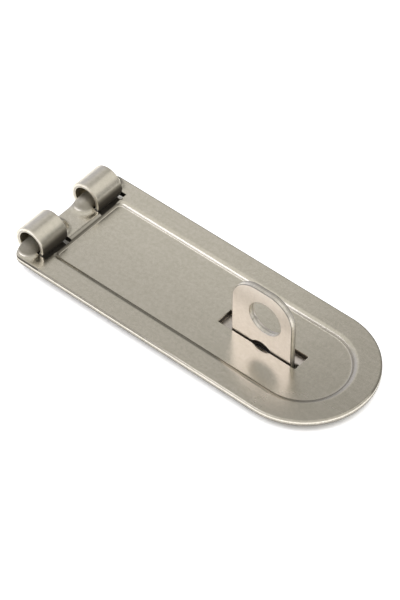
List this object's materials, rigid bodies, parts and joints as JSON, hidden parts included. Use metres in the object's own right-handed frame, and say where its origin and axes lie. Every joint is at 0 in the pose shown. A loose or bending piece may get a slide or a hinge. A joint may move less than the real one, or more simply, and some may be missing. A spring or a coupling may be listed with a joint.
{
  "type": "hasp",
  "caption": "Pressed steel cover hasp: a round-ended leaf with a sunk panel swings on a base leaf's rolled knuckles and closes over a staple plate's folded padlock eye.",
  "frame": {"origin": "middle of the base leaf's four screw holes, on the door's surface", "axes": "+X from the hinge to the round end of the cover, +Z away from the door"},
  "size_m": [0.1176, 0.045, 0.0266],
  "materials": {
    "cover_steel": "satin plated",
    "base_steel": "satin plated",
    "staple_steel": "satin plated"
  },
  "bodies": {
    "base": {"base_leaf": "base_steel", "staple_plate": "staple_steel"},
    "cover": {"cover_leaf": "cover_steel"}
  },
  "joints": [
    {"name": "cover_swing", "type": "hinge", "parent": "base", "child": "cover", "pos_m": [-0.029, 0, 0.007], "axis": [0, -1, 0], "range_deg": [0, 180]}
  ]
}
